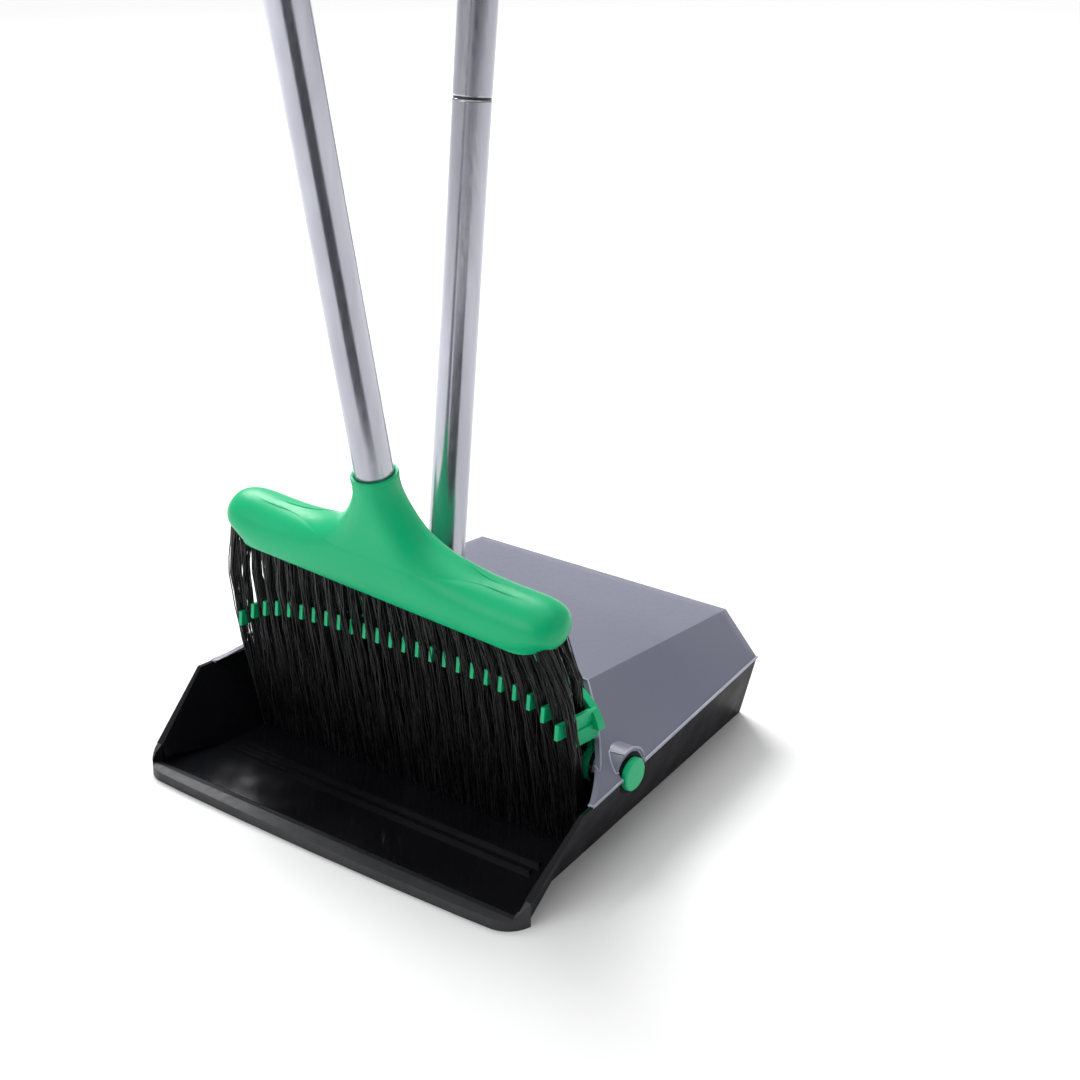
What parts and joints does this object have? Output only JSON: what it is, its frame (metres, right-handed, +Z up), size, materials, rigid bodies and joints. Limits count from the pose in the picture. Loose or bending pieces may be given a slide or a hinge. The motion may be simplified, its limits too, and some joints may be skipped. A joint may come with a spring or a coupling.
{
  "type": "dust pan and brush set",
  "caption": "Hooded dust pan with a folding handle, a comb across its mouth and a long broom that clips to the pan's handle.",
  "frame": {"origin": "on the floor, at the middle of the pan's flat underside", "axes": "+X to the pan's right seen from behind the broom's front, along both pivots; +Y to the back of the pan; +Z up. The pan lies flat and both handles stand."},
  "size_m": [0.292, 0.4534, 1.268],
  "materials": {
    "pan_black": "glossy",
    "lip_grey": "matte",
    "hood_clear": "satin, see-through",
    "green_plastic": "satin",
    "pin_steel": "satin",
    "silver_tube": "satin silver",
    "black_plastic": "matte",
    "grip_black": "matte",
    "bristle_black": "fine wavy filament"
  },
  "bodies": {
    "pan": {"pan_base": "pan_black", "lip_strip": "lip_grey", "pan_hood": "hood_clear"},
    "dustpan_handle": {"yoke_comb": "green_plastic", "yoke_socket": "green_plastic", "socket_latch": "green_plastic", "pivot_pin_left": "pin_steel", "pivot_pin_right": "pin_steel", "pivot_cap_left": "green_plastic", "pivot_cap_right": "green_plastic", "dustpan_tube_lower": "silver_tube", "dustpan_tube_joiner": "black_plastic", "dustpan_tube_upper": "silver_tube", "dustpan_grip": "grip_black", "dustpan_hanger_cap": "green_plastic"},
    "clip": {"handle_clip": "green_plastic"},
    "broom": {"broom_head": "green_plastic", "tuft_block": "black_plastic", "bristles_front": "bristle_black", "bristles_middle": "bristle_black", "bristles_rear": "bristle_black", "broom_tube_lower": "silver_tube", "broom_joiner_lower": "black_plastic", "broom_tube_middle": "silver_tube", "broom_joiner_upper": "black_plastic", "broom_tube_upper": "silver_tube", "broom_grip": "grip_black", "broom_hanger_cap": "green_plastic"}
  },
  "joints": [
    {"name": "handle_fold", "type": "hinge", "parent": "pan", "child": "dustpan_handle", "pos_m": [0, -0.0325, 0.047], "axis": [1, 0, 0], "range_deg": [0, 86], "deforming": ["bristles_front", "bristles_middle", "bristles_rear"]},
    {"name": "broom_swing", "type": "hinge", "parent": "dustpan_handle", "child": "clip", "pos_m": [0, -0.06055, 0.09665], "axis": [1, 0, 0], "range_deg": [-17.61, 0]},
    {"name": "broom_lift", "type": "slide", "parent": "clip", "child": "broom", "axis": [0, -0.2028, 0.9792], "range_m": [0, 0.26]}
  ],
  "couplings": [
    {"joint": "broom_swing", "follows": "handle_fold", "ratio": -0.20465}
  ]
}
